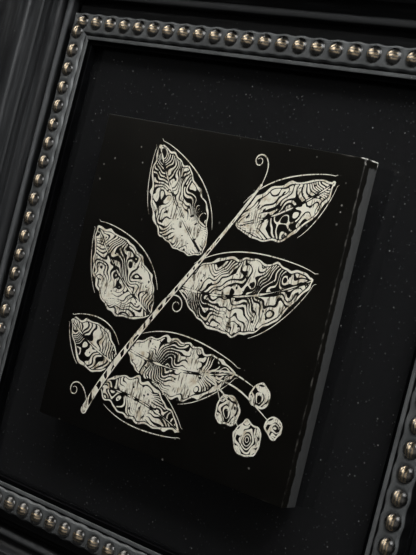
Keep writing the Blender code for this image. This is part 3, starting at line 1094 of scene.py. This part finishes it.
def drawing_field():
    """The whole drawing on a fine grid. Leaves that come later lie over the earlier ones."""
    line = np.arange(-GRID_REACH, GRID_REACH + GRID_STEP / 2.0, GRID_STEP)
    across, up = np.meshgrid(line, line, indexing="ij")
    whole = np.full_like(across, -1.0)
    for number, leaf in enumerate(LEAVES):
        part, inside = leaf_field(leaf, number, across, up)
        whole = np.where(inside > -0.7, np.maximum(part, -1.0), whole)
    for number, fruit in enumerate(FRUIT):
        part, inside = fruit_field(fruit, number, across, up)
        whole = np.where(inside > -0.5, part, whole)
    part, inside = stem_field(across, up)
    whole = np.where(inside > -0.45, part, whole)
    return line, whole


class GridPoints:
    """The points of flat faces on a grid, each made when it is first asked for."""

    def __init__(self, line, field):
        self.line = line
        self.field = field
        self.points = []
        self.known = {}

    def add(self, key, across, up):
        self.known[key] = len(self.points)
        self.points.append((across, up))

    def corner(self, i, j):
        """The point at a corner of the grid."""
        if (i, j) not in self.known:
            self.add((i, j), self.line[i], self.line[j])
        return self.known[i, j]

    def crossing(self, here, there):
        """The point between two corners where the field passes zero."""
        key = (min(here, there), max(here, there))
        if key not in self.known:
            share = self.field[here] / (self.field[here] - self.field[there])
            across, up = (self.line[a] + share * (self.line[b] - self.line[a]) for a, b in zip(here, there))
            self.add(key, across, up)
        return self.known[key]

    def trimmed_cell(self, i, j):
        """The part of one cell where the field is positive."""
        walk = ((i, j), (i + 1, j), (i + 1, j + 1), (i, j + 1))
        shape = []
        for here, there in zip(walk, walk[1:] + walk[:1]):
            if self.field[here] > 0.0:
                shape.append(self.corner(*here))
            if (self.field[here] > 0.0) != (self.field[there] > 0.0):
                shape.append(self.crossing(here, there))
        return tuple(shape)


def flat_shapes(line, field):
    """Cuts the field's positive area into flat faces: whole cells in rows, and trimmed cells along
    the edges."""
    grid = GridPoints(line, field)
    faces = []
    cream = field > 0.0
    corners = cream[:-1, :-1].astype(int) + cream[1:, :-1] + cream[1:, 1:] + cream[:-1, 1:]
    last = corners.shape[1]
    for i, row in enumerate(corners):
        j = 0
        while j < last:
            end = j + 1
            if row[j] == 4:
                while end < last and row[end] == 4:
                    end += 1
                run = ((i, j), (i + 1, j), (i + 1, end), (i, end))
                faces.append(tuple(grid.corner(*place) for place in run))
            elif row[j]:
                faces.append(grid.trimmed_cell(i, j))
            j = end
    return grid.points, faces


def add_stroke(points, faces, path, width):
    """A thin tapered stroke along a path, added to the drawing's faces."""
    count = len(path)
    first = len(points)
    for number, (across, up) in enumerate(path):
        before = path[max(0, number - 1)]
        after = path[min(count - 1, number + 1)]
        run = (after[0] - before[0], after[1] - before[1])
        length = math.hypot(*run) or 1.0
        taper = math.sin(math.pi * (0.04 + 0.92 * number / (count - 1))) ** 0.5
        half = width * 0.5 * taper
        points.append((across - run[1] / length * half, up + run[0] / length * half))
        points.append((across + run[1] / length * half, up - run[0] / length * half))
    for number in range(count - 1):
        one = first + 2 * number
        faces.append((one, one + 1, one + 3, one + 2))


def leaf_margin(leaf, offset, low, high, side):
    """Points a little outside a leaf's edge, from one share of its length to another."""
    angle = math.radians(leaf.heading)
    path = []
    for step in range(MARGIN_STEPS + 1):
        share = low + (high - low) * step / MARGIN_STEPS
        clipped = min(1.0, max(0.0, share))
        aside = side * (leaf_width(leaf, clipped) + offset) + leaf_bow(leaf, clipped)
        along = share * leaf.length
        path.append((leaf.across + along * math.cos(angle) - aside * math.sin(angle),
                     leaf.up + along * math.sin(angle) + aside * math.cos(angle)))
    return path


def tendril(foot, heading, length, curl):
    """A thin line that curls up more and more towards its tip."""
    path = [foot]
    angle = math.radians(heading)
    stride = length / TENDRIL_STEPS
    for step in range(TENDRIL_STEPS):
        angle += math.radians(curl) * (step / TENDRIL_STEPS) ** 1.5
        across, up = path[-1]
        path.append((across + stride * math.cos(angle), up + stride * math.sin(angle)))
    return path


def drawing(finish):
    """A leafy sprig with seed cases, scratched in cream lines."""
    line, field = drawing_field()
    points, faces = flat_shapes(line, field)
    for number, leaf in enumerate(LEAVES):
        side = 1.0 if number % 2 else -1.0
        for offset, low, high, width in MARGINS:
            add_stroke(points, faces, leaf_margin(leaf, offset, low, high, side), width)
            side = -side
    for across, up, radius in FRUIT:
        bow = ((across + FRUIT_FOOT[0]) / 2.0, (up + FRUIT_FOOT[1]) / 2.0 + STALK_BOW)
        stalk = (FRUIT_FOOT, bow, bow, (across - radius * 0.8, up + radius * 0.5))
        path = [curve_point(stalk, step / STALK_STEPS) for step in range(STALK_STEPS + 1)]
        add_stroke(points, faces, path, STALK_WIDTH)
    for foot, heading, length, curl, width in TENDRILS:
        add_stroke(points, faces, tendril(foot, heading, length, curl), width)
    front = -(PANEL_THICK / 2.0 + DRAWING_LIFT)
    mesh = bpy.data.meshes.new("scratched_sprig")
    mesh.from_pydata([(across * MM, front * MM, up * MM) for across, up in points], [], faces)
    piece = bpy.data.objects.new("scratched_sprig", mesh)
    bpy.context.scene.collection.objects.link(piece)
    mesh.transform(PANEL_PLACE)
    drop_slivers(piece)
    for polygon in mesh.polygons:
        if polygon.normal.y > 0.0:
            polygon.flip()
    place_piece(piece, finish, "engraved_panel")


def camera():
    """The photograph's camera."""
    lens = bpy.data.cameras.new("photo_camera")
    lens.sensor_width = SENSOR_WIDTH
    lens.lens = FOCAL_PIXELS / IMAGE_LONG_SIDE * SENSOR_WIDTH
    lens.shift_x, lens.shift_y = CAMERA_SHIFT
    lens.clip_start = 0.01
    made = bpy.data.objects.new("photo_camera", lens)
    made.location = CAMERA_PLACE
    made.rotation_euler = [math.radians(value) for value in CAMERA_TURN]
    bpy.context.scene.collection.objects.link(made)
    bpy.context.scene.camera = made


def away(azimuth, elevation):
    """The direction from the frame to a light. Azimuth 0 is straight in front, 90 to the right."""
    turn = math.radians(azimuth)
    rise = math.radians(elevation)
    return Vector((math.sin(turn) * math.cos(rise), -math.cos(turn) * math.cos(rise), math.sin(rise)))


def soft_box(name, azimuth, elevation, distance, width, height, glow, colour):
    """A rectangular light in a given direction, turned to the frame. Glow is how bright its face is."""
    lamp = bpy.data.lights.new(name, "AREA")
    lamp.shape = "RECTANGLE"
    lamp.size = width
    lamp.size_y = height
    lamp.energy = glow * math.pi * width * height
    lamp.color = colour
    made = bpy.data.objects.new(name, lamp)
    place = away(azimuth, elevation) * distance
    facing = (-place).to_track_quat("-Z", "Y").to_matrix().to_4x4()
    made.matrix_world = Matrix.Translation(place) @ facing
    made.visible_camera = False
    bpy.context.scene.collection.objects.link(made)
    return made


def lights():
    """Soft studio light from above and both sides. The metal beads mirror cards of their own, and
    two boxes light only what isn't a bead."""
    lit = {name: bpy.data.collections.new(name) for name in ("bead_rows", "other_pieces")}
    for piece in bpy.context.scene.objects:
        if piece.type == "MESH":
            group = "bead_rows" if piece.name.startswith("bead_row") else "other_pieces"
            lit[group].objects.link(piece)
    for name, (*shape, colour, group, mirrored) in SOFT_BOXES.items():
        box = soft_box(name, *shape, colour)
        box.visible_glossy = mirrored
        if group:
            box.light_linking.receiver_collection = lit[group]


def dim_room():
    """The faint light that comes from all round."""
    world = bpy.data.worlds.new("dim_room")
    world.use_nodes = True
    background = world.node_tree.nodes["Background"]
    background.inputs["Color"].default_value = ROOM_COLOUR
    background.inputs["Strength"].default_value = ROOM_GLOW
    bpy.context.scene.world = world


def pale_floor():
    """A plain pale floor under the frame. It isn't mirrored, which keeps the beads dark below."""
    drop_selection()
    bpy.ops.mesh.primitive_plane_add(size=FLOOR_SIDE, location=(0.0, 0.0, -FLOOR_DROP * MM))
    floor = bpy.context.object
    rename(floor, "pale_floor")
    shade = (0.62, 0.61, 0.59)
    pale = (0.66, 0.65, 0.63)
    made, tree, shader = start_material("pale_floor", roughness=0.8)
    set_colour(tree, shader, mixed(tree, use(tree, "smudges", Scale=3.0), shade, pale))
    paint(floor, made)
    floor.visible_glossy = False
    floor.visible_diffuse = False


def finish_solids():
    """Paints the solids that show as they are."""
    nodes = frame["nodes"]
    step_paint = flat_black_paint()
    steel = zinc_plate()
    for side in SIDES:
        paint(nodes[f"inner_slip_{side}"], step_paint)
        for number in (1, 2):
            paint(nodes[f"framing_point_{side}_{number}"], steel)
    paint(nodes["background_board"], dusty_black_board())
    paint(nodes["backing_board"], brown_hardboard())
    paint(nodes["panel_spacer"], black_foam())
    for name in ("sawtooth_hanger", "hanger_nail_left", "hanger_nail_right"):
        paint(nodes[name], steel)


def build():
    """Dresses the frame, piece by piece, and lights it."""
    make_groups()
    upright = satin_black_paint("satin_black_upright", (140.0, 140.0, 9.0))
    level = satin_black_paint("satin_black_level", (9.0, 140.0, 140.0))
    mouldings(upright, level)
    strips(pewter_paint())
    beads(rubbed_metal_beads())
    panel(black_panel_coating())
    drawing(scratched_cream())
    finish_solids()
    camera()
    pale_floor()
    lights()
    dim_room()
    bpy.context.scene.view_settings.view_transform = "Standard"


build()
bpy.context.view_layer.update()
